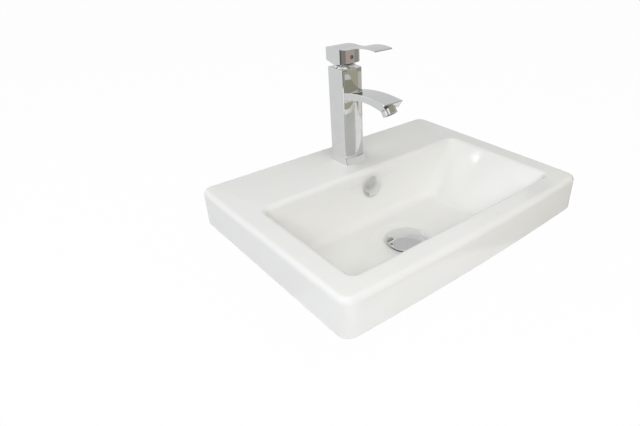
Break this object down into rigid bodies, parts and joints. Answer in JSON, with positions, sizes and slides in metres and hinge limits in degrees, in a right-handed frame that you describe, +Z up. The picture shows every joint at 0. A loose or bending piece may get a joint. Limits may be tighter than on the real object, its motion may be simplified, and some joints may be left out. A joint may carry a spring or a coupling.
{
  "type": "cabinet basin",
  "caption": "White rectangular cabinet-top wash basin with a square single-lever mixer, a round overflow cover and a domed click waste.",
  "frame": {"origin": "middle of the apron's underside ring, on the cabinet top (z = 0); the rim is at z = 0.061 m", "axes": "+X to the right for a user facing the basin, +Y towards the wall, +Z up"},
  "size_m": [0.5, 0.3805, 0.3842],
  "materials": {
    "glazed_white": "gloss",
    "chrome": "polished",
    "brass": "machined",
    "steel": "plain",
    "black_rubber": "matt",
    "disc_ceramic": "lapped",
    "white_plastic": "moulded",
    "grey_plastic": "moulded",
    "index_plastic": "gloss"
  },
  "bodies": {
    "basin": {"aerator_housing": "chrome", "aerator_insert": "white_plastic", "aerator_seal": "black_rubber", "cartridge_base": "grey_plastic", "cartridge_fixed_disc": "disc_ceramic", "cartridge_gasket": "black_rubber", "cartridge_nut": "brass", "cartridge_shell": "grey_plastic", "ceramic_basin": "glazed_white", "mixer_base_seal": "black_rubber", "mixer_body": "chrome", "mixer_clamp_pad": "black_rubber", "mixer_clamp_plate": "steel", "mixer_collar": "chrome", "mixer_fixing_nut": "brass", "mixer_fixing_stud": "brass", "mixer_plinth": "chrome", "overflow_cover": "chrome", "overflow_sleeve": "white_plastic", "waste_backnut": "brass", "waste_body": "chrome", "waste_click_guide": "white_plastic", "waste_click_spring": "steel", "waste_slip_washer": "white_plastic", "waste_top_seal": "black_rubber", "waste_under_seal": "black_rubber"},
    "swivel": {"cartridge_turn_guide": "grey_plastic", "cartridge_pin": "steel"},
    "lever": {"lever_handle": "chrome", "lever_grub_screw": "steel", "lever_index_plug": "index_plastic", "cartridge_spindle": "brass"},
    "mixing_disc": {"cartridge_moving_disc": "disc_ceramic", "cartridge_carrier": "white_plastic"},
    "plug": {"waste_cap": "chrome", "waste_cap_seal": "black_rubber", "waste_plunger": "brass"}
  },
  "joints": [
    {"name": "lever_swivel", "type": "hinge", "parent": "basin", "child": "swivel", "pos_m": [0, 0.119, 0.217], "axis": [0, 0, 1], "range_deg": [-45, 45]},
    {"name": "lever_lift", "type": "hinge", "parent": "swivel", "child": "lever", "pos_m": [0, 0.119, 0.217], "axis": [-1, 0, 0], "range_deg": [0, 20]},
    {"name": "disc_slide", "type": "slide", "parent": "swivel", "child": "mixing_disc", "axis": [0, -1, 0], "range_m": [0, 0.00411]},
    {"name": "plug_lift", "type": "slide", "parent": "basin", "child": "plug", "axis": [0, 0, 1], "range_m": [0, 0.009], "deforming": ["waste_click_spring"]}
  ],
  "couplings": [
    {"joint": "disc_slide", "follows": "lever_lift", "m_per_rad": 0.011746}
  ]
}
